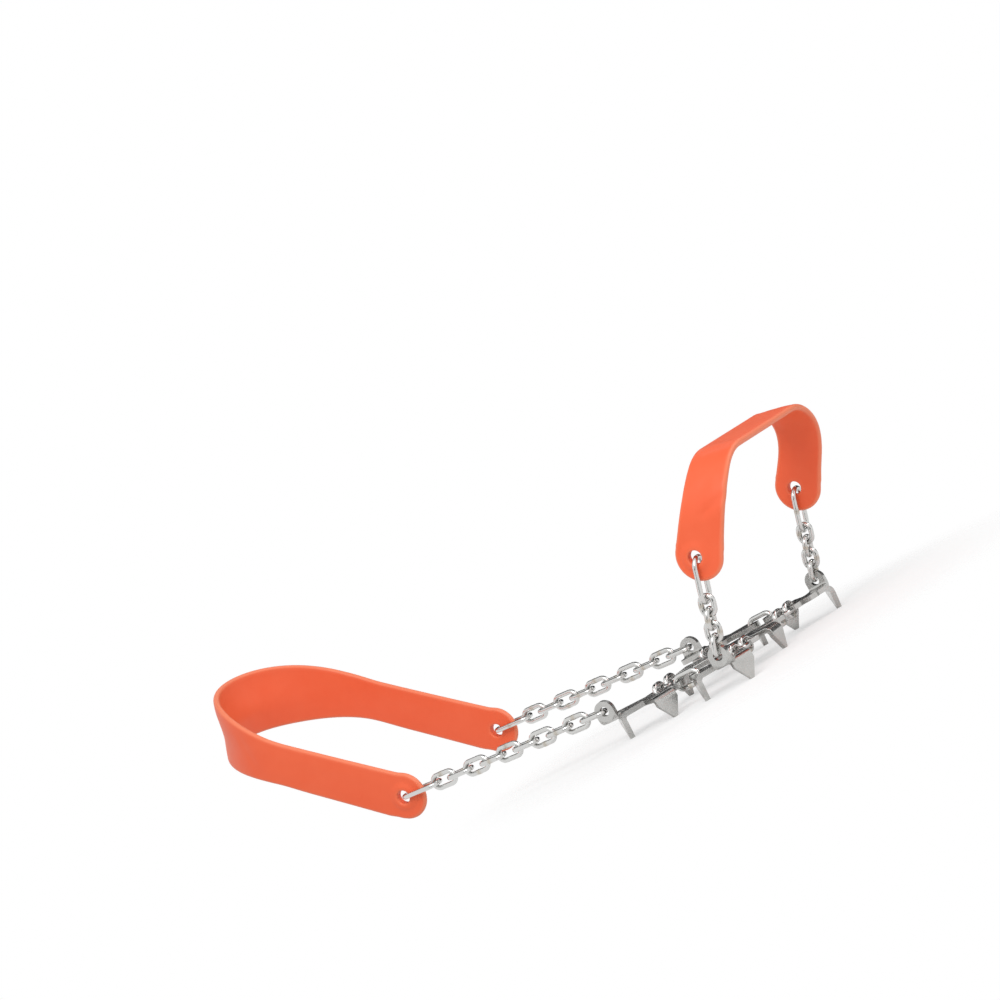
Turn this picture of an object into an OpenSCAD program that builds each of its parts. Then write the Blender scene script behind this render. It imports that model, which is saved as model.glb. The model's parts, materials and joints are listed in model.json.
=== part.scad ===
// Slip-on chain crampon: spiked plates joined by welded links, held by two elastic bands.
// Millimetres. +X points to the toe, +Y to the left, +Z up.
// The origin is the middle of the centre plate's top face, where the sole rests.

/* [Plates] */
// Thickness of the plate sheet
sheet_t = 2; // [1.5:0.1:2.4]
// Inner radius of every bend in the sheet
bend_r = 1; // [0.6:0.1:1.4]
// Height of a point below the top face of its plate
tooth_drop = 10.5; // [9:0.5:14]
// Width of a tooth where it leaves the bend
tooth_w = 9; // [7:0.5:10]
// Width of the blunt end of a tooth
tooth_tip_w = 1.2; // [0.8:0.1:2]
// Straight height of a tooth below its bend
tooth_shoulder = 1; // [0.5:0.25:2]
// Distance between the two teeth of a corner plate
tooth_pitch = 21; // [20:0.5:24]
// Distance of the outer teeth from the centre line
tooth_y = 44; // [42:0.5:47]
// Distance of the front and rear plates from the origin, along the foot
plate_x = 18.25; // [17.5:0.25:21]
// Distance of the side plates' middles from the centre line
plate_y = 36; // [34.5:0.5:37]
// Distance of the centre plate's teeth from the origin
centre_tooth_x = 23; // [21:0.5:26]
// Width of a plate's arms
arm_w = 8.2; // [7:0.1:10]
// Radius of the holes that the links pass through
hole_r = 1.9; // [1.8:0.05:2.1]
// Width of metal left round a hole
ear_rim = 2.2; // [1.8:0.1:2.6]
// Distance of the inner link hole from a side plate's middle
inner_hole_y = 5; // [4:0.25:5.5]

/* [Links] */
// Diameter of the link wire
wire_d = 2; // [1.8:0.05:2.1]
// Free play between two linked wires
link_play = 0.3; // [0.25:0.05:0.5]
// Width of a link between the middles of its wires
link_w = 5.2; // [5:0.1:5.8]
// Length of a short link between the middles of its end wires
short_link = 7.4; // [7.2:0.1:8]
// Length of a heel or side link between the middles of its end wires
heel_link = 10.6; // [9.5:0.1:11]
// Length of a band link between the middles of its end wires
band_link = 17; // [15:0.5:20]
// Width of a band link between the middles of its wires
band_link_w = 7; // [6.8:0.1:8]

/* [Bands] */
// Thickness of a band
band_t = 3; // [2.4:0.1:3.2]
// Height of the raised rim round a band's hole
rim_h = 0.6; // [0.4:0.1:0.8]
// Radius of the raised rim
rim_r = 5.2; // [4.5:0.1:6]
// Radius of the hole in a band's end
band_hole_r = 2.7; // [2.6:0.05:3]
// Radius of a band's round end
band_end_r = 9.5; // [8.5:0.25:11]
// How far a band's round end stands out past the strip that leaves it
end_step = 0.4; // [0.3:0.1:1]

/* [Toe harness] */
// Distance of the toe chains from the centre line
toe_y = 48; // [47:0.5:52]
// Distance of the toe ears from the origin, along the foot
toe_ear_x = 23.5; // [21:0.5:26]
// Forward lean of the toe chains
toe_chain_lean = 19.5; // [10:0.5:28]
// Forward tilt of the toe band's arch
toe_band_tilt = 13; // [0:1:16]
// Height of the toe band's arch above its holes
toe_arch_h = 33.5; // [32:0.5:46]
// Corner radius of the arch
toe_corner_r = 22.5; // [20:0.5:32]
// How far the toe band runs forward from its holes to its top
toe_sweep = 11.5; // [9:0.5:20]
// Width of the toe band
toe_band_w = 17.5; // [14:0.5:18.5]

/* [Heel harness] */
// Distance of the heel chains from the centre line
heel_y = 40; // [39.5:0.25:41]
// Distance of the heel ears behind the origin
heel_ear_x = 36; // [35:0.5:40]
// Rise of the heel chains towards the back
heel_chain_rise = 3.5; // [0:0.5:10]
// Backward tilt of the heel band's wall
heel_band_tilt = 27; // [10:1:30]
// Length of the heel band behind its holes
heel_band_l = 99; // [90:1:115]
// Rise of the heel band from its holes to its back, along its wall
heel_band_rise = 18; // [12:1:36]
// Width of the heel band at its sides
heel_band_w = 17; // [12:0.5:18]
// Width of the heel band at its back
heel_back_w = 28; // [20:1:32]

/* [Hidden] */
$fn = 48;
HEEL_LINKS = 10;
TOE_LINKS = 4;
CROSS_LINKS = 3;
SIDES = ["right", "left"];

bend_out = bend_r + sheet_t;
// A link's round end needs this much more room in a hole than a straight wire.
function bow(width, thickness) = let (inner = (width - wire_d) / 2)
    inner - sqrt(pow(inner, 2) - pow(thickness / 2, 2));
// Shift of a taut wire from the middle of its hole.
plate_pull = hole_r - wire_d / 2 - bow(link_w, sheet_t) - link_play;
band_pull = band_hole_r - wire_d / 2 - bow(band_link_w, band_t + 2 * rim_h) - link_play;
// What two linked wires take off the length of a run.
hook = wire_d + link_play;
ear_r = hole_r + ear_rim;
ear_z = bend_r + hole_r;
// Radius of an arc that runs forward by the sweep while it climbs by the rise, and ends upright.
function sweep_r(sweep, rise) = (pow(sweep, 2) + pow(rise, 2)) / (2 * sweep);
// Half width of a band's strip at its round end.
neck = band_end_r - end_step;

// Lengths of runs of links between the middles of the holes that they join.
cross_run = CROSS_LINKS * short_link - (CROSS_LINKS - 1) * hook + 2 * plate_pull;
side_run = heel_link + 2 * plate_pull;
toe_run = TOE_LINKS * (short_link - hook) + band_link + plate_pull + band_pull;
heel_run = HEEL_LINKS * (heel_link - hook) + band_link + plate_pull + band_pull;

cross_out_y = plate_y - inner_hole_y;
cross_in_y = cross_out_y - cross_run;

// Unit directions of the chains, in the plane of X and Z.
toe_dir = [sin(toe_chain_lean), cos(toe_chain_lean)];
heel_dir = [-cos(heel_chain_rise), sin(heel_chain_rise)];
toe_ear = [toe_ear_x, ear_z];
heel_ear = [-heel_ear_x, ear_z];
toe_hole = toe_ear + toe_run * toe_dir;
heel_hole = heel_ear + heel_run * heel_dir;

steel = "silver";
elastic = "orangered";

// Everything is drawn for the right side, at minus Y, and mirrored for the left.
module on_side(s) {
    mirror([0, s == "left" ? 1 : 0, 0]) children();
}

// A closed link of round wire in the plane of X and Y, long along X.
module wire_link(length, width) {
    r = width / 2;
    straight = length - width;
    for (e = [0, 1]) mirror([e, 0, 0]) translate([straight / 2, 0, 0])
        rotate([0, 0, -90]) rotate_extrude(angle = 180) translate([r, 0]) circle(d = wire_d);
    for (e = [-1, 1]) translate([-straight / 2, e * r, 0])
        rotate([0, 90, 0]) cylinder(d = wire_d, h = straight);
}

// A link whose middle lies at the distance along from a start point, in a run in the plane of X and Z.
// Turned links lie in that plane, and the others stand across it.
module link_on_run(start, dir, y, along, length, width, turned) {
    p = start + along * dir;
    translate([p[0], y, p[1]]) rotate([0, -atan2(dir[1], dir[0]), 0])
        rotate([turned ? 90 : 0, 0, 0]) wire_link(length, width);
}

// A flat arm from one point to a hole or an ear, with the same rim round the hole as an ear has.
module arm(from, to) {
    d = to - from;
    translate(from) rotate(atan2(d[1], d[0])) translate([0, -arm_w / 2]) square([norm(d), arm_w]);
    translate(from) circle(d = arm_w);
    translate(to) circle(r = ear_r);
}

// A tooth: a strip from a plate's middle that bends down and ends in a point below the target.
module tooth(from, to) {
    d = to - from;
    reach = norm(d) + sheet_t / 2;
    translate([from[0], from[1], 0]) rotate(atan2(d[1], d[0])) {
        translate([0, -tooth_w / 2, -sheet_t]) cube([reach - bend_out, tooth_w, sheet_t]);
        translate([reach - bend_out, tooth_w / 2, -bend_out]) rotate([90, 0, 0])
            rotate_extrude(angle = 90) translate([bend_r, 0]) square([sheet_t, tooth_w]);
        translate([reach - sheet_t, 0, -bend_out]) rotate([90, 0, 90])
            linear_extrude(sheet_t) polygon([
                [-tooth_w / 2, 0], [tooth_w / 2, 0],
                [tooth_w / 2, -tooth_shoulder], [tooth_tip_w / 2, bend_out - tooth_drop],
                [-tooth_tip_w / 2, bend_out - tooth_drop], [-tooth_w / 2, -tooth_shoulder]]);
    }
}

// An upright ear at the distance out from the centre line, bent up from a strip that starts at y_from.
module ear(x, y_from, out) {
    y_bend = out + sheet_t / 2 - bend_out;
    translate([x - ear_r, -y_bend, -sheet_t]) cube([2 * ear_r, y_bend - y_from, sheet_t]);
    translate([x - ear_r, -y_bend, bend_r]) rotate([90, 90, 90])
        rotate([0, 0, -90]) rotate_extrude(angle = 90) translate([bend_r, 0]) square([sheet_t, 2 * ear_r]);
    difference() {
        union() {
            translate([x - ear_r, -out - sheet_t / 2, bend_r]) cube([2 * ear_r, sheet_t, ear_z - bend_r]);
            translate([x, -out, ear_z]) rotate([90, 0, 0]) cylinder(r = ear_r, h = sheet_t, center = true);
        }
        translate([x, -out, ear_z]) rotate([90, 0, 0]) cylinder(r = hole_r, h = 2 * sheet_t, center = true);
    }
}

module sheet_holes(points) {
    for (p = points) translate([p[0], p[1], -1.5 * sheet_t]) cylinder(r = hole_r, h = 2 * sheet_t);
}

// A side plate at x, with a hole for the side link towards the origin and one for the cross links.
module side_plate(x, ear_x) {
    mid = [x, -plate_y];
    side_hole = [sign(x) * side_run / 2, -plate_y];
    inner_hole = [x, -cross_out_y];
    difference() {
        union() {
            translate([0, 0, -sheet_t]) linear_extrude(sheet_t) {
                arm(mid, side_hole);
                arm(mid, inner_hole);
                arm(mid, [ear_x, -plate_y]);
            }
            for (e = [-1, 1]) tooth(mid, [x + e * tooth_pitch / 2, -tooth_y]);
        }
        sheet_holes([side_hole, inner_hole]);
    }
}

module front_plate(s) {
    color(steel) on_side(s) {
        side_plate(plate_x, toe_ear_x);
        ear(toe_ear_x, plate_y, toe_y);
    }
}

module rear_plate(s) {
    color(steel) on_side(s) {
        side_plate(-plate_x, -heel_ear_x);
        ear(-heel_ear_x, plate_y, heel_y);
    }
}

module centre_plate() {
    holes = [for (i = [-1, 1], j = [-1, 1]) [i * plate_x, j * cross_in_y]];
    color(steel) difference() {
        union() {
            translate([0, 0, -sheet_t]) linear_extrude(sheet_t) for (p = holes) arm([0, 0], p);
            for (e = [-1, 1]) tooth([0, 0], [e * centre_tooth_x, 0]);
        }
        sheet_holes(holes);
    }
}

// Links between the plates lie level with the middle of the sheet.
module side_link(s) {
    color(steel) on_side(s) translate([0, -plate_y, -sheet_t / 2]) rotate([90, 0, 0]) wire_link(heel_link, link_w);
}

module cross_link(x, k, s) {
    along = plate_pull + short_link / 2 + (k - 1) * (short_link - hook);
    color(steel) on_side(s) translate([x, along - cross_out_y, -sheet_t / 2])
        rotate([0, 0, 90]) rotate([k % 2 == 1 ? 90 : 0, 0, 0]) wire_link(short_link, link_w);
}

module toe_link(k, s) {
    along = plate_pull + short_link / 2 + (k - 1) * (short_link - hook);
    color(steel) on_side(s) link_on_run(toe_ear, toe_dir, -toe_y, along, short_link, link_w, k % 2 == 0);
}

module toe_band_link(s) {
    along = toe_run - band_pull - band_link / 2;
    color(steel) on_side(s) link_on_run(toe_ear, toe_dir, -toe_y, along, band_link, band_link_w, false);
}

module heel_link_piece(k, s) {
    along = plate_pull + heel_link / 2 + (k - 1) * (heel_link - hook);
    color(steel) on_side(s) link_on_run(heel_ear, heel_dir, -heel_y, along, heel_link, link_w, k % 2 == 0);
}

module heel_band_link(s) {
    along = heel_run - band_pull - band_link / 2;
    color(steel) on_side(s) link_on_run(heel_ear, heel_dir, -heel_y, along, band_link, band_link_w, false);
}

// The raised rims and the holes at the two ends of a band, whose middle wall is at the distance out.
module band_rims(out) {
    for (e = [0, 1]) mirror([0, e, 0]) translate([0, -out - band_t / 2 - rim_h, 0])
        rotate([-90, 0, 0]) cylinder(r = rim_r, h = rim_h + band_t / 2);
}

module band_holes(out) {
    for (e = [-1, 1]) translate([0, e * out, 0])
        rotate([90, 0, 0]) cylinder(r = band_hole_r, h = 4 * band_t, center = true);
}

// Outline of the space inside the toe arch, grown by the distance grow.
module arch_outline(grow) {
    r = toe_corner_r + grow;
    w = toe_y + grow;
    low = -2 * band_end_r;
    corner = [toe_y - toe_corner_r, toe_arch_h - toe_corner_r];
    translate([-w, low]) square([2 * w, corner[1] - low]);
    translate([-corner[0], low]) square([2 * corner[0], toe_arch_h + grow - low]);
    for (e = [-1, 1]) translate([e * corner[0], corner[1]]) circle(r);
}

// The toe band's strip seen along Y, between two arcs that lean forward from the hole and end upright.
module toe_strip() {
    side = toe_band_w / 2;
    lean = asin(toe_arch_h / sweep_r(toe_sweep, toe_arch_h));
    edge = neck * [cos(lean), -sin(lean)];
    front_r = sweep_r(toe_sweep + side - edge[0], toe_arch_h - edge[1]);
    rear_r = sweep_r(toe_sweep - side + edge[0], toe_arch_h + edge[1]);
    circle(band_end_r);
    intersection() {
        difference() {
            translate([toe_sweep + side - front_r, toe_arch_h]) circle(front_r);
            translate([toe_sweep - side - rear_r, toe_arch_h]) circle(rear_r);
        }
        rotate(-lean) translate([-front_r, 0]) square([2 * front_r, front_r]);
    }
}

// The arch is seen along X, and its strip is cut along Y.
module toe_band() {
    strip_l = toe_sweep + toe_arch_h + toe_band_w;
    color(elastic) translate([toe_hole[0], 0, toe_hole[1]]) rotate([0, toe_band_tilt, 0]) difference() {
        union() {
            intersection() {
                rotate([90, 0, 90]) linear_extrude(2 * strip_l, center = true) difference() {
                    arch_outline(band_t / 2);
                    arch_outline(-band_t / 2);
                }
                rotate([90, 0, 0]) linear_extrude(3 * toe_y, center = true) toe_strip();
            }
            band_rims(toe_y);
        }
        band_holes(toe_y);
    }
}

// Outline of the space inside the heel band, grown by the distance grow.
module heel_outline(grow) {
    r = heel_y + grow;
    back = heel_band_l - heel_y;
    translate([-back, -r]) square([back + 2 * band_end_r, 2 * r]);
    translate([-back, 0]) circle(r);
}

// The wall is seen from above, and the strip that cuts it is seen along Y. The strip widens to the back.
module heel_band() {
    side = heel_band_w / 2;
    tall = heel_back_w / 2;
    straight = heel_band_l - heel_y;
    past = heel_band_l + band_t;
    slope = heel_band_rise / heel_band_l;
    color(elastic) translate([heel_hole[0], 0, heel_hole[1]]) rotate([0, heel_band_tilt, 0]) difference() {
        union() {
            intersection() {
                linear_extrude(4 * heel_band_rise + 2 * heel_back_w, center = true) difference() {
                    heel_outline(band_t / 2);
                    heel_outline(-band_t / 2);
                }
                rotate([90, 0, 0]) linear_extrude(3 * heel_y, center = true) {
                    circle(band_end_r);
                    polygon([
                        [0, -neck], [-straight, straight * slope - side],
                        [-past, past * slope - tall], [-past, past * slope + tall],
                        [-straight, straight * slope + side], [0, neck]]);
                }
            }
            band_rims(heel_y);
        }
        band_holes(heel_y);
    }
}

centre_plate();
for (s = SIDES) {
    front_plate(s);
    rear_plate(s);
    side_link(s);
    toe_band_link(s);
    heel_band_link(s);
    for (k = [1:CROSS_LINKS]) {
        cross_link(plate_x, k, s);
        cross_link(-plate_x, k, s);
    }
    for (k = [1:TOE_LINKS]) toe_link(k, s);
    for (k = [1:HEEL_LINKS]) heel_link_piece(k, s);
}
toe_band();
heel_band();
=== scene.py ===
"""A slip-on chain crampon: two orange elastic bands, bright welded links and stamped plates with points.

Pieces are built as numpy surfaces in millimetres, in the part's frame: origin in the middle of the centre
plate's top face, +X to the toe, +Y to the wearer's left, +Z up.
"""

import json
import math

import bmesh
import bpy
import numpy as np
from mathutils import Matrix, Vector

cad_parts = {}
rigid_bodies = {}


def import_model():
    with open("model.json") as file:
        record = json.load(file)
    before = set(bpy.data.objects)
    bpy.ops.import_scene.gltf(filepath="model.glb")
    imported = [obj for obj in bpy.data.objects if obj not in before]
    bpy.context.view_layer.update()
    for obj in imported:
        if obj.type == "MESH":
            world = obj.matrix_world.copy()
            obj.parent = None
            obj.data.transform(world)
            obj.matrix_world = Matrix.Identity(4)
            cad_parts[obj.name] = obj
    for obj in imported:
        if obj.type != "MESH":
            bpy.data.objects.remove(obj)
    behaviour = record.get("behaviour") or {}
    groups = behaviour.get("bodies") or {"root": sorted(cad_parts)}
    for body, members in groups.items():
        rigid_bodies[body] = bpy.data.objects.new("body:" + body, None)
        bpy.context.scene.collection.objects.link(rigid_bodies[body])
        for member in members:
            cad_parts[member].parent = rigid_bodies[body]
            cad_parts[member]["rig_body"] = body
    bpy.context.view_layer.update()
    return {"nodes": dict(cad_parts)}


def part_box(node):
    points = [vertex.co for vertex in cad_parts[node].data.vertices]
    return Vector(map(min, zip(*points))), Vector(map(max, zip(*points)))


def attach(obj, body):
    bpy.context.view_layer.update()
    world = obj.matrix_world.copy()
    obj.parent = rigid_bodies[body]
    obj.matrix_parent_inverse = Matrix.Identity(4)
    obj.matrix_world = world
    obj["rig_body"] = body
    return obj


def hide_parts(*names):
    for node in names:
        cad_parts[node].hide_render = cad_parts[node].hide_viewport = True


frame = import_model()
scene = bpy.context.scene

# Sizes shared with the part, in millimetres and degrees.
WIRE_D = 2.0
LINK_W, SHORT_LINK, HEEL_LINK = 5.2, 7.4, 10.6
BAND_LINK, BAND_LINK_W = 17.0, 7.0
BAND_T, RIM_H, HOLE_R, END_R, NECK = 3.0, 0.6, 2.7, 9.5, 9.1
TOE_Y, TOE_LEAN, TOE_TILT = 48.0, 19.5, 13.0
TOE_ARCH_H, TOE_CORNER_R, TOE_SWEEP, TOE_BAND_W = 33.5, 22.5, 11.5, 17.5
HEEL_Y, HEEL_RISE, HEEL_TILT = 40.0, 3.5, 27.0
HEEL_BAND_L, HEEL_BAND_RISE, HEEL_BAND_W, HEEL_BACK_W = 99.0, 18.0, 17.0, 28.0
GROUND_Z = -10.5
X_AXIS, Y_AXIS, Z_AXIS = np.eye(3)

# Give of the stretched bands: the toe band's round end slips forward of its hole and its strip bows back
# above that, and the heel band's lower edge hangs deeper along its sides.
TOE_END_SLIP, TOE_BOW, HEEL_END_SAG = 1.1, 0.8, 1.3

# Radii of the bands' rounded edges, and depths, in from an edge of radius 1, of points at even angles round it.
EDGE_R, HOLE_EDGE_R = 1.2, 0.7
ROUND = 1 - np.cos(np.radians([0, 22.5, 45, 67.5, 90]))


def smooth(a, b, x):
    """0 below a, 1 above b, and a soft step between."""
    u = np.clip((x - a) / (b - a), 0, 1)
    return u * u * (3 - 2 * u)


def make_object(name, verts, faces, values=None, uvs=None, weld=False):
    """An object from points in millimetres. values are named numbers per point, uvs a pair per face corner."""
    mesh = bpy.data.meshes.new(name)
    mesh.from_pydata((np.asarray(verts) * 0.001).tolist(), [], np.asarray(faces).tolist())
    for key, data in (values or {}).items():
        mesh.attributes.new(key, "FLOAT", "POINT").data.foreach_set("value", np.asarray(data, np.float32))
    if uvs is not None:
        mesh.uv_layers.new(name="UVMap").data.foreach_set("uv", np.asarray(uvs, np.float32).ravel())
    if weld:
        bm = bmesh.new()
        bm.from_mesh(mesh)
        bmesh.ops.remove_doubles(bm, verts=bm.verts, dist=2e-6)
        bmesh.ops.dissolve_degenerate(bm, dist=1e-7, edges=bm.edges)
        bmesh.ops.recalc_face_normals(bm, faces=bm.faces)
        bm.to_mesh(mesh)
        bm.free()
    mesh.polygons.foreach_set("use_smooth", [True] * len(mesh.polygons))
    mesh.update()
    obj = bpy.data.objects.new(name, mesh)
    scene.collection.objects.link(obj)
    return obj


def grid_faces(index, wrap_rows=False, wrap_cols=False):
    """Quads between neighbours of a 2-D array of point numbers."""
    if wrap_rows:
        index = np.vstack([index, index[:1]])
    if wrap_cols:
        index = np.hstack([index, index[:, :1]])
    a, b, c, d = index[:-1, :-1], index[:-1, 1:], index[1:, 1:], index[1:, :-1]
    return np.stack([a, b, c, d], -1).reshape(-1, 4)


def stand_for(obj, node, material):
    """Puts obj in the place of one CAD node, on that node's body."""
    obj.data.materials.clear()
    obj.data.materials.append(material)
    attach(obj, frame["nodes"][node]["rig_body"])
    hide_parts(node)


# Materials


def rgb(code):
    """Linear colour of an sRGB hex code."""
    parts = [int(code[i : i + 2], 16) / 255 for i in (0, 2, 4)]
    return [c / 12.92 if c <= 0.04045 else ((c + 0.055) / 1.055) ** 2.4 for c in parts] + [1.0]


def new_material(name):
    """A new material and its main shader."""
    m = bpy.data.materials.new(name)
    m.use_nodes = True
    return m, m.node_tree.nodes["Principled BSDF"]


def add(material, kind, links=(), **values):
    """Adds a node. links are (source socket, own input) pairs, and values set its own fields and inputs."""
    node = material.node_tree.nodes.new(kind)
    for key, value in values.items():
        if key in node.inputs:
            node.inputs[key].default_value = value
        else:
            setattr(node, key, value)
    for source, own in links:
        material.node_tree.links.new(source, node.inputs[own])
    return node


def join(material, source, target):
    material.node_tree.links.new(source, target)


def elastomer():
    """Moulded orange matte elastomer, slightly mottled, with painted highlights at its edges and holes."""
    m, shader = new_material("moulded orange elastomer")
    shader.inputs["Roughness"].default_value = 0.46
    shader.inputs["Specular IOR Level"].default_value = 0.4
    place = add(m, "ShaderNodeTexCoord").outputs["Object"]
    # Cloudy patches about 12 mm across.
    cloud = add(m, "ShaderNodeTexNoise", [(place, "Vector")], Scale=85.0, Detail=3.0, Roughness=0.55)
    tone = add(m, "ShaderNodeMix", [(cloud.outputs["Fac"], "Factor")], data_type="RGBA")
    tone.inputs["A"].default_value = rgb("FA6439")
    tone.inputs["B"].default_value = rgb("FF7047")
    # Painted highlight: a paler orange is painted along the rounded edges and round the holes, through the edge
    # attribute.
    edge = add(m, "ShaderNodeAttribute", attribute_name="edge")
    painted_highlight = add(
        m, "ShaderNodeMix", [(edge.outputs["Fac"], "Factor"), (tone.outputs["Result"], "A")], data_type="RGBA"
    )
    painted_highlight.inputs["B"].default_value = rgb("FFA07A")
    join(m, painted_highlight.outputs["Result"], shader.inputs["Base Color"])
    # Mould texture, grains about 0.3 mm across, on soft flow waves about 6 mm long.
    grain = add(m, "ShaderNodeTexNoise", [(place, "Vector")], Scale=3200.0, Detail=2.0)
    flow = add(m, "ShaderNodeTexNoise", [(place, "Vector")], Scale=160.0, Detail=2.0)
    fine = add(m, "ShaderNodeBump", [(grain.outputs["Fac"], "Height")], Strength=0.12, Distance=0.00004)
    soft = add(
        m, "ShaderNodeBump", [(flow.outputs["Fac"], "Height"), (fine.outputs["Normal"], "Normal")],
        Strength=0.35, Distance=0.0003,
    )
    join(m, soft.outputs["Normal"], shader.inputs["Normal"])
    return m


def bright_wire():
    """Bright stainless wire: drawn lines along the wire, and a dull straw-tinted patch at the weld."""
    m, shader = new_material("bright welded stainless wire")
    shader.inputs["Metallic"].default_value = 1.0
    along = add(m, "ShaderNodeTexCoord").outputs["UV"]
    # The UV map is in millimetres: lines about 4 mm long and 0.1 mm wide.
    thin = add(m, "ShaderNodeMapping", [(along, "Vector")])
    thin.inputs["Scale"].default_value = (0.25, 9.0, 1.0)
    lines = add(m, "ShaderNodeTexNoise", [(thin.outputs["Vector"], "Vector")], Scale=1.0, Detail=3.0)
    weld = add(m, "ShaderNodeAttribute", attribute_name="weld").outputs["Fac"]
    tint = add(m, "ShaderNodeMix", [(weld, "Factor")], data_type="RGBA")
    tint.inputs["A"].default_value = rgb("D2D2D0")
    tint.inputs["B"].default_value = rgb("BFB9AE")
    join(m, tint.outputs["Result"], shader.inputs["Base Color"])
    gloss = add(m, "ShaderNodeMapRange", [(lines.outputs["Fac"], "Value")])
    gloss.inputs["To Min"].default_value = 0.12
    gloss.inputs["To Max"].default_value = 0.26
    dull = add(m, "ShaderNodeMath", [(weld, 0), (gloss.outputs["Result"], 2)], operation="MULTIPLY_ADD")
    dull.inputs[1].default_value = 0.2
    join(m, dull.outputs["Value"], shader.inputs["Roughness"])
    bump = add(m, "ShaderNodeBump", [(lines.outputs["Fac"], "Height")], Strength=0.15, Distance=0.00002)
    join(m, bump.outputs["Normal"], shader.inputs["Normal"])
    return m


def stamped_sheet():
    """Stamped and tumbled stainless sheet: fine crossing scratches, faint dull spots and shallow dents."""
    m, shader = new_material("stamped stainless sheet")
    shader.inputs["Metallic"].default_value = 1.0
    place = add(m, "ShaderNodeTexCoord").outputs["Object"]
    # Two sets of scratches that cross, each about 3 mm long and 0.2 mm wide.
    marks = []
    for turn in (0.4, 1.9):
        lie = add(m, "ShaderNodeMapping", [(place, "Vector")])
        lie.inputs["Rotation"].default_value = (0.3, 0.2, turn)
        lie.inputs["Scale"].default_value = (300.0, 6000.0, 2500.0)
        marks.append(add(m, "ShaderNodeTexNoise", [(lie.outputs["Vector"], "Vector")], Scale=1.0, Detail=2.0))
    both = add(
        m, "ShaderNodeMath", [(marks[0].outputs["Fac"], 0), (marks[1].outputs["Fac"], 1)], operation="MULTIPLY"
    )
    # Dull spots about 4 mm across.
    spots = add(m, "ShaderNodeTexNoise", [(place, "Vector")], Scale=250.0, Detail=3.0)
    tone = add(m, "ShaderNodeMix", [(spots.outputs["Fac"], "Factor")], data_type="RGBA")
    tone.inputs["A"].default_value = rgb("B4B3B0")
    tone.inputs["B"].default_value = rgb("C8C8C6")
    join(m, tone.outputs["Result"], shader.inputs["Base Color"])
    gloss = add(m, "ShaderNodeMapRange", [(both.outputs["Value"], "Value")])
    gloss.inputs["From Max"].default_value = 0.6
    gloss.inputs["To Min"].default_value = 0.16
    gloss.inputs["To Max"].default_value = 0.38
    join(m, gloss.outputs["Result"], shader.inputs["Roughness"])
    fine = add(m, "ShaderNodeBump", [(both.outputs["Value"], "Height")], Strength=0.2, Distance=0.00003)
    # Tumbling leaves the sheet slightly uneven, in dents about 8 mm across.
    dents = add(m, "ShaderNodeTexNoise", [(place, "Vector")], Scale=120.0, Detail=0.0)
    uneven = add(
        m, "ShaderNodeBump", [(dents.outputs["Fac"], "Height"), (fine.outputs["Normal"], "Normal")],
        Strength=0.5, Distance=0.0003,
    )
    join(m, uneven.outputs["Normal"], shader.inputs["Normal"])
    return m


ELASTOMER = elastomer()
WIRE = bright_wire()
SHEET = stamped_sheet()


# Bands

# Mesh of a band: run from a hole to the line where the end's rings meet the grid, rays round the free edge,
# rings and columns between the rounded edges, and the length of a row.
END_CUT, EDGE_RAYS, END_RINGS, BODY_COLUMNS, ROW_STEP = 16.0, 72, 12, 19, 1.5
# Radius of the soft join between a round end and the strip, and half width of a crease.
JOIN_R, CREASE_W = 0.8, 1.5


def toe_wall(t):
    """Middle of the toe band's wall at the run t from the right hole, with its outward direction.

    The wall goes straight up from the hole, round a quarter circle, over a flat top and down the same way.
    """
    rise = TOE_ARCH_H - TOE_CORNER_R
    turn = TOE_CORNER_R * math.pi / 2
    flat = 2 * (TOE_Y - TOE_CORNER_R)
    total = 2 * rise + 2 * turn + flat
    far = np.minimum(t, total - t)
    side = np.where(t <= total / 2, -1.0, 1.0)
    angle = np.clip((far - rise) / TOE_CORNER_R, 0, math.pi / 2)
    over = np.maximum(far - rise - turn, 0)
    y = TOE_Y - TOE_CORNER_R + TOE_CORNER_R * np.cos(angle) - over
    z = np.minimum(far, rise) + TOE_CORNER_R * np.sin(angle)
    mid = np.stack([0 * y, side * y, z], -1)
    out = np.stack([0 * y, side * np.cos(angle), np.sin(angle)], -1)
    return mid, out, total


def heel_wall(t):
    """Middle of the heel band's wall at the run t from the right hole, with its outward direction.

    The wall goes straight back from the hole, round a half circle behind the heel and forward again.
    """
    straight = HEEL_BAND_L - HEEL_Y
    total = 2 * straight + math.pi * HEEL_Y
    angle = np.clip((t - straight) / HEEL_Y, 0, math.pi)
    x = -np.minimum(t, straight) - HEEL_Y * np.sin(angle) + np.maximum(t - total + straight, 0)
    mid = np.stack([x, -HEEL_Y * np.cos(angle), 0 * x], -1)
    out = np.stack([-np.sin(angle), -np.cos(angle), 0 * x], -1)
    return mid, out, total


def sweep_r(sweep, rise):
    """Radius of an arc that runs forward by the sweep while it climbs by the rise, and ends upright."""
    return (sweep**2 + rise**2) / (2 * sweep)


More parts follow.
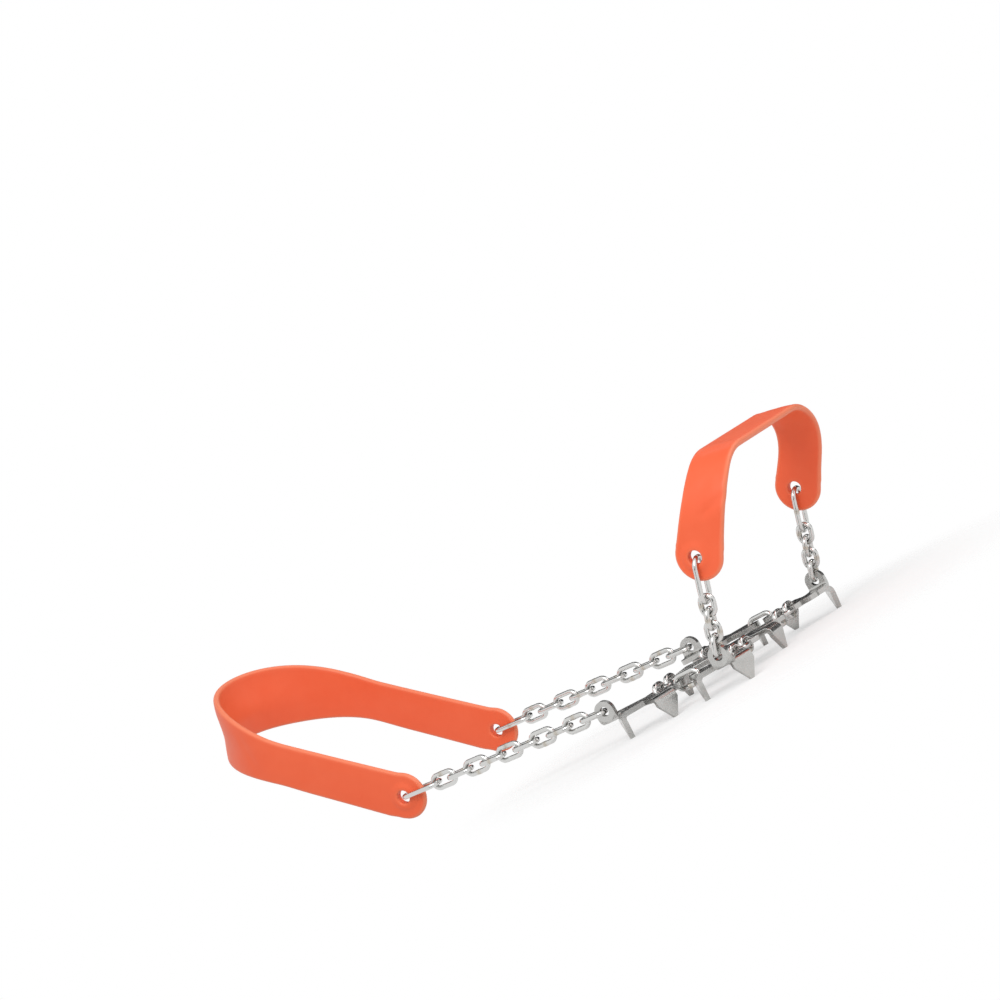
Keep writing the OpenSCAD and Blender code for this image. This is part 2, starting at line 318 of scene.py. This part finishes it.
def toe_strip(t):
    """Middle line and half width of the toe band across its wall, and the cosine of its lean.

    Both edges are arcs that lean forward and end upright.
    """
    mid, out, total = toe_wall(t)
    below = TOE_ARCH_H - mid[:, 2]
    end_lean = math.asin(TOE_ARCH_H / sweep_r(TOE_SWEEP, TOE_ARCH_H))
    edges, slopes = [], []
    for side in (-1, 1):
        top = TOE_SWEEP + side * TOE_BAND_W / 2
        foot_x, foot_z = side * NECK * math.cos(end_lean), -side * NECK * math.sin(end_lean)
        r = sweep_r(top - foot_x, TOE_ARCH_H - foot_z)
        run = np.sqrt(r**2 - below**2)
        # The forward edge starts below the hole, since the strip leaves the hole at a lean.
        far = np.minimum(t, total - t) - min(foot_z, 0)
        slip = TOE_END_SLIP * (1 - smooth(0, 10, far))
        bow = TOE_BOW * (smooth(4, 14, far) - smooth(16, 34, far))
        edges.append(top - r + run + slip - bow)
        slopes.append(below / run)
    # Slope against the run: the wall climbs by the sideways part of its outward direction.
    lean = np.arctan(np.mean(slopes, axis=0) * np.abs(out[:, 1]))
    return (edges[0] + edges[1]) / 2, (edges[1] - edges[0]) / 2, np.cos(lean)


def heel_strip(t):
    """Middle line and half width of the heel band across its wall, and the cosine of its lean.

    The strip climbs, narrows, and widens at the back.
    """
    mid, out, _ = heel_wall(t)
    behind = -mid[:, 0]
    straight = HEEL_BAND_L - HEEL_Y
    slope = HEEL_BAND_RISE / HEEL_BAND_L
    back = smooth(straight - 6, HEEL_BAND_L + BAND_T, behind)
    waist = NECK + (HEEL_BAND_W / 2 - NECK) * np.sin(math.pi / 2 * np.clip(behind / straight, 0, 1))
    # The sag sets in over the round end and fades out towards the back.
    sag = HEEL_END_SAG / 2 * (0.3 + 0.7 * smooth(0, 9, behind)) * (1 - smooth(40, 85, behind))
    half = waist + sag + (HEEL_BACK_W - HEEL_BAND_W) / 2 * back
    return slope * behind - sag, half, np.cos(np.arctan(slope * np.abs(out[:, 1])))


def band(name, wall, strip, across, origin, tilt, creases, end_slip=0.0, flare=0.0):
    """An elastic band as two skins on a bent wall, with a round end and a rimmed hole at each end.

    The flat pattern has the run t and the distance q across. Rings of points go out from each hole to the
    band's edge, and a grid of rows joins both ends. A skin lies half the thickness off the wall and rounds down
    to it at the edge, where both meet. A crease is a shallow valley in the wall along a short line of the
    pattern, given by its middle t and q, its turn in degrees from the run, its half length and its depth. The
    round end's middle lies end_slip across from the hole. The flare is how far the upper edge leans out, level,
    halfway along the run.
    """
    total = wall(np.zeros(1))[2]
    # The strip leaves the hole at a slope across the wall.
    slope = np.diff(strip(np.array([0.0, 1.0]))[0])[0]
    end_lean = 1 / math.hypot(1, slope)

    def depth(t, q):
        """Distance in from the pattern's edge: the larger of the end disc's and the strip's, softly joined."""
        t = np.minimum(t, total - t)
        mid, half, lean = strip(np.maximum(t, 0))
        mid = mid + slope * np.minimum(t, 0)
        disc = END_R - np.hypot(t, q - end_slip)
        bar = (half - np.abs(q - mid)) * lean + np.minimum((t + slope * (q - end_slip)) * end_lean, 0)
        return np.maximum(disc, bar) + np.maximum(JOIN_R - np.abs(disc - bar), 0) ** 2 / (4 * JOIN_R)

    def columns(t):
        """Distances q of the grid's columns at the run t, close together at both edges."""
        mid, half, lean = strip(t)
        near = EDGE_R * ROUND
        inner = np.linspace(-1, 1, BODY_COLUMNS)[1:-1]
        low = -half[:, None] + near[None] / lean[:, None]
        body = (half - EDGE_R / lean)[:, None] * inner[None]
        return mid[:, None] + np.hstack([low, body, -low[:, ::-1]])

    # Rays from the hole: to the cut line, then round the free edge.
    cut_q = columns(np.array([END_CUT]))[0]
    cut_turns = np.arctan2(cut_q, END_CUT)
    free_turns = np.linspace(cut_turns[-1], cut_turns[0] + 2 * math.pi, EDGE_RAYS + 2)[1:-1]
    turns = np.concatenate([cut_turns, free_turns])
    ray = np.stack([np.cos(turns), np.sin(turns)], -1)
    # The free edge lies where the depth falls to nothing, found by halving.
    free = ray[-EDGE_RAYS:]
    lo, hi = np.full(EDGE_RAYS, HOLE_R + 1), np.full(EDGE_RAYS, 40.0)
    for _ in range(50):
        r = (lo + hi) / 2
        inside = depth(r * free[:, 0], r * free[:, 1]) > 0
        lo, hi = np.where(inside, r, lo), np.where(inside, hi, r)
    reach = np.concatenate([np.hypot(cut_q, END_CUT), lo])
    start = HOLE_R + HOLE_EDGE_R
    steps = np.linspace(0, 1, END_RINGS)
    rings = np.hstack([
        HOLE_R + HOLE_EDGE_R * ROUND[None, :-1] + 0 * reach[:, None],
        start + (reach - EDGE_R - start)[:, None] * steps[None],
        reach[:, None] - EDGE_R * ROUND[None, -2::-1],
    ])
    end_t, end_q = rings * ray[:, :1], rings * ray[:, 1:]

    def skin(t, q, side):
        """Points of one skin, side 1 for the outer and minus 1 for the inner, with its painted highlight."""
        shape = t.shape
        t, q = t.ravel(), q.ravel()
        mid, out, _ = wall(t)
        from_edge = np.maximum(depth(t, q), 0)
        from_hole = np.hypot(np.minimum(t, total - t), q) - HOLE_R
        round_edge = np.sqrt(1 - (1 - np.minimum(from_edge / EDGE_R, 1)) ** 2)
        # The band is fullest from 6 mm inside its edge.
        crown = 0.86 + 0.14 * smooth(0, 6, from_edge)
        lift = BAND_T / 2 * round_edge * crown
        if side > 0:
            lift = lift + RIM_H * (1 - smooth(1.2, 3.6, from_hole))
        lift = lift - HOLE_EDGE_R * (1 - np.sqrt(1 - (1 - np.clip(from_hole / HOLE_EDGE_R, 0, 1)) ** 2))
        valley = 0 * t
        for crease_t, crease_q, turn, reach, deep in creases:
            c, s = math.cos(math.radians(turn)), math.sin(math.radians(turn))
            along = (t - crease_t) * c + (q - crease_q) * s
            off = (q - crease_q) * c - (t - crease_t) * s
            valley += deep * np.exp(-((off / CREASE_W) ** 2)) * (1 - smooth(0.4 * reach, reach, np.abs(along)))
        middle_q, half, _ = strip(np.clip(t, 0, total))
        halfway = smooth(0.25, 0.5, np.minimum(t, total - t) / total)
        lean_out = flare * halfway * smooth(-0.4, 1.0, (q - middle_q) / half)
        level = math.cos(tilt) * out - math.sin(tilt) * across
        p = mid + (side * lift - valley)[:, None] * out + lean_out[:, None] * level + q[:, None] * across
        # Painted highlight: strongest at the band's edge, with a weaker one round the hole.
        painted_highlight = 0.55 * (1 - smooth(0, 1.5, from_edge)) + 0.25 * (1 - smooth(0, 1.2, from_hole))
        return p.reshape(*shape, 3), painted_highlight.reshape(shape)

    rows = np.linspace(END_CUT, total - END_CUT, int((total - 2 * END_CUT) / ROW_STEP) + 1)
    row_q = columns(rows)
    row_t = np.repeat(rows[:, None], row_q.shape[1], 1)
    points, painted_highlights, faces, count = [], [], [], 0

    def patch(p, painted_highlight, wrap):
        nonlocal count
        index = count + np.arange(p.shape[0] * p.shape[1]).reshape(p.shape[:2])
        points.append(p.reshape(-1, 3))
        painted_highlights.append(painted_highlight.ravel())
        faces.append(grid_faces(index, wrap_rows=wrap))
        count += index.size

    for side in (1, -1):
        patch(*skin(row_t, row_q, side), False)
        patch(*skin(end_t, end_q, side), True)
        patch(*skin(total - end_t, end_q, side), True)
    for t in (end_t, total - end_t):
        outer = skin(t[:, :1], end_q[:, :1], 1)[0]
        inner = skin(t[:, :1], end_q[:, :1], -1)[0]
        # The hole's own wall, from the outer skin to the inner.
        blend = np.linspace(0, 1, 5)[None, :, None]
        wall_p = outer * (1 - blend) + inner * blend
        patch(wall_p, np.zeros(wall_p.shape[:2]), True)

    p = np.concatenate(points)
    c, s = math.cos(tilt), math.sin(tilt)
    p = np.stack([c * p[:, 0] + s * p[:, 2], p[:, 1], c * p[:, 2] - s * p[:, 0]], -1) + origin
    # The edge attribute carries the painted highlight.
    return make_object(name, p, np.concatenate(faces), {"edge": np.concatenate(painted_highlights)}, weld=True)


def middle(node):
    """Middle of a CAD node's box, in millimetres."""
    lo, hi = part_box(node)
    return np.array((lo + hi) / 2) * 1000


def run_dir(lean):
    """Direction of a chain that leans by an angle from +X to +Z."""
    return np.array([math.cos(math.radians(lean)), 0, math.sin(math.radians(lean))])


TOE_RUN = run_dir(90 - TOE_LEAN)
HEEL_RUN = run_dir(180 - HEEL_RISE)

# How far a taut band link's wire sits from the middle of its hole.
PLAY = 0.3
BAND_REACH = BAND_T / 2 + RIM_H
BAND_INNER = (BAND_LINK_W - WIRE_D) / 2
BAND_PULL = HOLE_R - WIRE_D / 2 - BAND_INNER + math.sqrt(BAND_INNER**2 - BAND_REACH**2) - PLAY


def band_hole(node, run):
    """Middle between a band's two holes, past the end of its link."""
    return (middle(node) + (BAND_LINK / 2 + BAND_PULL) * run) * [1, 0, 1]


# Faint creases where the toe band bends over its corners.
TOE_CREASES = [
    (17, 13, 62, 9, 0.45), (23, 7, 70, 8, 0.3), (41, 12, 80, 7, 0.3), (52, 12, 96, 6, 0.2),
    (84, 11, 84, 6, 0.2), (99, 10, 108, 8, 0.35), (122, 12, 114, 8, 0.35),
]
toe_band = band(
    "toe_band_skin", toe_wall, toe_strip, X_AXIS,
    band_hole("toe_band_link_right", TOE_RUN), math.radians(TOE_TILT), TOE_CREASES, end_slip=TOE_END_SLIP,
)
stand_for(toe_band, "toe_band", ELASTOMER)
HEEL_CREASES = [(72, 14, 60, 12, 0.2), (176, 16, 118, 13, 0.22)]
heel_band = band(
    "heel_band_skin", heel_wall, heel_strip, Z_AXIS,
    band_hole("heel_band_link_right", HEEL_RUN), math.radians(HEEL_TILT), HEEL_CREASES, flare=4.5,
)
stand_for(heel_band, "heel_band", ELASTOMER)


# Links

# Mesh of a link: points round each bend, along each leg and round the wire.
BEND_POINTS, LEG_POINTS, WIRE_POINTS = 19, 13, 16
# Half length of a weld, and how much thicker the wire is there.
WELD_L, WELD_BULGE = 0.9, 0.08


def wire_link(node, run, across, length, width, weld_side):
    """A closed wire loop: a circle swept round two straight legs and two half circles.

    One leg carries a butt weld, a soft bulge round the wire. run and across span the loop's plane.
    """
    r, leg = width / 2, length - width
    bends = np.linspace(-math.pi / 2, math.pi / 2, BEND_POINTS)
    legs = np.linspace(-0.5, 0.5, LEG_POINTS + 2)[1:-1] * leg
    x = np.concatenate([leg / 2 + r * np.cos(bends), -legs, -leg / 2 - r * np.cos(bends), legs])
    y = np.concatenate([r * np.sin(bends), r + 0 * legs, -r * np.sin(bends), -r + 0 * legs])
    out = np.stack([np.sign(x) * np.maximum(np.abs(x) - leg / 2, 0), y], -1)
    out /= np.linalg.norm(out, axis=1)[:, None]
    step = np.hypot(np.diff(x, append=x[:1]), np.diff(y, append=y[:1]))
    along = np.cumsum(step) - step
    on_leg = np.exp(-((x / WELD_L) ** 2)) * (np.sign(y) == weld_side) * (np.abs(y) > 0.9 * r)
    wire_r = WIRE_D / 2 * (1 + WELD_BULGE * on_leg)
    around = np.linspace(0, 2 * math.pi, WIRE_POINTS + 1)[:-1]
    c, s = wire_r[:, None] * np.cos(around), wire_r[:, None] * np.sin(around)
    e3 = np.cross(run, across)
    flat = (x[:, None] + c * out[:, :1])[..., None] * run + (y[:, None] + c * out[:, 1:])[..., None] * across
    p = flat + s[..., None] * e3 + middle(node)
    rows, cols = c.shape
    faces = grid_faces(np.arange(rows * cols).reshape(rows, cols), True, True)[:, ::-1]
    u = np.append(along, along[-1] + step[-1])
    v = np.arange(cols + 1) / cols * math.pi * WIRE_D
    i, j = np.divmod(np.arange(rows * cols), cols)
    uvs = np.stack([np.stack([u[i + a], v[j + b]], -1) for a, b in ((0, 0), (0, 1), (1, 1), (1, 0))][::-1], 1)
    obj = make_object(node + "_wire", p.reshape(-1, 3), faces, {"weld": np.repeat(on_leg, cols)}, uvs)
    stand_for(obj, node, WIRE)


def chain(stem, count, run, length):
    """Both sides' links of a chain: odd ones stand across the run, even ones lie in its plane."""
    for side in ("right", "left"):
        for k in range(1, count + 1):
            across = Y_AXIS if k % 2 else np.cross(run, Y_AXIS)
            wire_link(f"{stem}_link_{k}_{side}", run, across, length, LINK_W, 1 if k % 4 < 2 else -1)


chain("toe", 4, TOE_RUN, SHORT_LINK)
chain("heel", 10, HEEL_RUN, HEEL_LINK)
for side, inward in (("right", 1), ("left", -1)):
    wire_link(f"toe_band_link_{side}", TOE_RUN, Y_AXIS, BAND_LINK, BAND_LINK_W, inward)
    wire_link(f"heel_band_link_{side}", HEEL_RUN, Y_AXIS, BAND_LINK, BAND_LINK_W, inward)
    wire_link(f"side_link_{side}", X_AXIS, Z_AXIS, HEEL_LINK, LINK_W, -1)
    for row in ("front", "rear"):
        for k in (1, 2, 3):
            across = Z_AXIS if k % 2 else X_AXIS
            wire_link(f"{row}_cross_link_{k}_{side}", Y_AXIS, across, SHORT_LINK, LINK_W, -1)


# Plates

# Radius of a stamped edge.
STAMPED_R = 0.35


def stamped_plate(node):
    """A copy of a plate's own surface with its stamped edges rounded."""
    obj = frame["nodes"][node].copy()
    obj.data = obj.data.copy()
    obj.name = obj.data.name = node + "_stamped"
    for key in list(obj.keys()):
        del obj[key]
    scene.collection.objects.link(obj)
    bm = bmesh.new()
    bm.from_mesh(obj.data)
    bmesh.ops.remove_doubles(bm, verts=bm.verts, dist=1e-6)
    bmesh.ops.dissolve_limit(bm, angle_limit=math.radians(0.5), verts=bm.verts, edges=bm.edges)
    bm.to_mesh(obj.data)
    bm.free()
    obj.data.polygons.foreach_set("use_smooth", [True] * len(obj.data.polygons))
    bevel = obj.modifiers.new("stamped edge", "BEVEL")
    bevel.width = STAMPED_R * 0.001
    bevel.segments = 3
    bevel.limit_method = "ANGLE"
    bevel.angle_limit = math.radians(40)
    # The large flat faces rule the shading, so that only edges and bends look round.
    shading = obj.modifiers.new("flat faces", "WEIGHTED_NORMAL")
    shading.weight = 100
    stand_for(obj, node, SHEET)


for node in ("centre_plate", "front_plate_right", "front_plate_left", "rear_plate_right", "rear_plate_left"):
    stamped_plate(node)


# Floor, lights and camera

# Middle of the part and of its plates on the ground, and where the paper begins and ends to fade, in metres.
STAGE_MIDDLE = (-0.085, 0.0, GROUND_Z * 0.001)
PLATES_MIDDLE = (0.01, 0.0, GROUND_Z * 0.001)
FADE_START, FADE_END = 0.07, 0.14

floor_corners = [[x, y, GROUND_Z] for x, y in ((-985, -900), (815, -900), (815, 900), (-985, 900))]
floor = make_object("floor", floor_corners, [[0, 1, 2, 3]])
paper, shader = new_material("white paper floor")
shader.inputs["Base Color"].default_value = rgb("FCFCFC")
shader.inputs["Roughness"].default_value = 0.9
# The paper fades into the white background round the plates, so that it carries their shadow and doesn't hide
# a heel chain that hangs below the points.
place = add(paper, "ShaderNodeTexCoord").outputs["Object"]
away = add(paper, "ShaderNodeVectorMath", [(place, 0)], operation="DISTANCE")
away.inputs[1].default_value = PLATES_MIDDLE
fade = add(paper, "ShaderNodeMapRange", [(away.outputs["Value"], "Value")], interpolation_type="SMOOTHSTEP")
for key, value in (("From Min", FADE_START), ("From Max", FADE_END), ("To Min", 1.0), ("To Max", 0.0)):
    fade.inputs[key].default_value = value
# To the camera the paper glows a little, so that it is white where no shadow falls.
camera_ray = add(paper, "ShaderNodeLightPath").outputs["Is Camera Ray"]
look = add(paper, "ShaderNodeMath", [(camera_ray, 0)], operation="MULTIPLY")
look.inputs[1].default_value = 0.5
glow = add(paper, "ShaderNodeEmission")
lit = add(
    paper, "ShaderNodeMixShader",
    [(look.outputs["Value"], 0), (shader.outputs["BSDF"], 1), (glow.outputs["Emission"], 2)],
)
# From below the paper is clear, so that it doesn't hide the points.
from_below = add(paper, "ShaderNodeNewGeometry").outputs["Backfacing"]
top_side = add(
    paper, "ShaderNodeMath", [(fade.outputs["Result"], 0), (from_below, 1)],
    operation="SUBTRACT", use_clamp=True,
)
clear = add(paper, "ShaderNodeBsdfTransparent")
sheet = add(
    paper, "ShaderNodeMixShader",
    [(top_side.outputs["Value"], 0), (clear.outputs["BSDF"], 1), (lit.outputs["Shader"], 2)],
)
join(paper, sheet.outputs["Shader"], paper.node_tree.nodes["Material Output"].inputs["Surface"])
floor.data.materials.append(paper)


def flag(name, colour, corners):
    """A dark card out of view that gives bright metal something dark to mirror. Corners in millimetres."""
    card = make_object(name, corners, [[0, 1, 2, 3]])
    felt, shader = new_material(name + " felt")
    shader.inputs["Base Color"].default_value = rgb(colour)
    shader.inputs["Roughness"].default_value = 1.0
    card.data.materials.append(felt)
    card.visible_camera = card.visible_diffuse = card.visible_shadow = False


flag("far flag", "2E2E30", [[-700, 600, 0], [500, 600, 0], [500, 600, 420], [-700, 600, 420]])
flag("near flag", "1A1A1C", [[-250, -1000, -200], [900, -1000, -200], [900, -1000, 60], [-250, -1000, 60]])
flag("top flag", "2E2E30", [[-600, 60, 500], [400, 60, 500], [400, 450, 500], [-600, 450, 500]])

world = bpy.data.worlds.new("studio")
scene.world = world
world.use_nodes = True
tree = world.node_tree
sky = tree.nodes["Background"]
path = tree.nodes.new("ShaderNodeLightPath")
seen = tree.nodes.new("ShaderNodeMath")
seen.operation = "ADD"
seen.use_clamp = True
tree.links.new(path.outputs["Is Camera Ray"], seen.inputs[0])
tree.links.new(path.outputs["Is Glossy Ray"], seen.inputs[1])
level = tree.nodes.new("ShaderNodeMapRange")
level.inputs["To Min"].default_value = 0.56
level.inputs["To Max"].default_value = 1.0
tree.links.new(seen.outputs["Value"], level.inputs["Value"])
tree.links.new(level.outputs["Result"], sky.inputs["Strength"])
sky.inputs["Color"].default_value = (1, 1, 1, 1)


def lamp(name, place, size, power):
    """A square soft lamp that faces the middle of the part, in metres and watts."""
    light = bpy.data.lights.new(name, "AREA")
    light.size = size
    light.energy = power
    obj = bpy.data.objects.new(name, light)
    obj.location = place
    obj.rotation_euler = (Vector(STAGE_MIDDLE) - Vector(place)).to_track_quat("-Z", "Y").to_euler()
    scene.collection.objects.link(obj)


lamp("key", (0.25, -0.62, 0.6), 0.5, 3.6)
lamp("rim", (0.9, 0.7, 0.9), 0.6, 4)

# Camera: stands 1.2 m from the origin, low and to the right of the toe, rolled so that the toe points up.
# The focal length and the origin's place in the picture are in pixels of a square picture.
AZIMUTH, ELEVATION, ROLL, DISTANCE = 29.5, 4.6, 29.9, 1.2
FOCAL_PX, ORIGIN_PX, IMAGE_PX, SENSOR_MM = 3120.0, (724.72, 647.29), 1000, 36
a, e, r = (math.radians(v) for v in (AZIMUTH, ELEVATION, ROLL))
back = Vector((math.sin(a) * math.cos(e), -math.cos(a) * math.cos(e), math.sin(e)))
right = Vector((math.cos(a), math.sin(a), 0))
up = back.cross(right)
image_x = math.cos(r) * right - math.sin(r) * up
image_y = math.sin(r) * right + math.cos(r) * up
off_x, off_y = ((IMAGE_PX / 2 - place) / FOCAL_PX for place in ORIGIN_PX)
ahead = (off_x * image_x - off_y * image_y - back).normalized()
cam_x = (image_x - image_x.dot(ahead) * ahead).normalized()
cam_y = (-ahead).cross(cam_x)
camera = bpy.data.objects.new("camera", bpy.data.cameras.new("camera"))
camera.matrix_world = Matrix.Translation(back * DISTANCE) @ Matrix((cam_x, cam_y, -ahead)).transposed().to_4x4()
camera.data.sensor_width = SENSOR_MM
camera.data.lens = FOCAL_PX / IMAGE_PX * SENSOR_MM
camera.data.clip_end = 20
scene.collection.objects.link(camera)
scene.camera = camera

scene.view_settings.view_transform = "Standard"
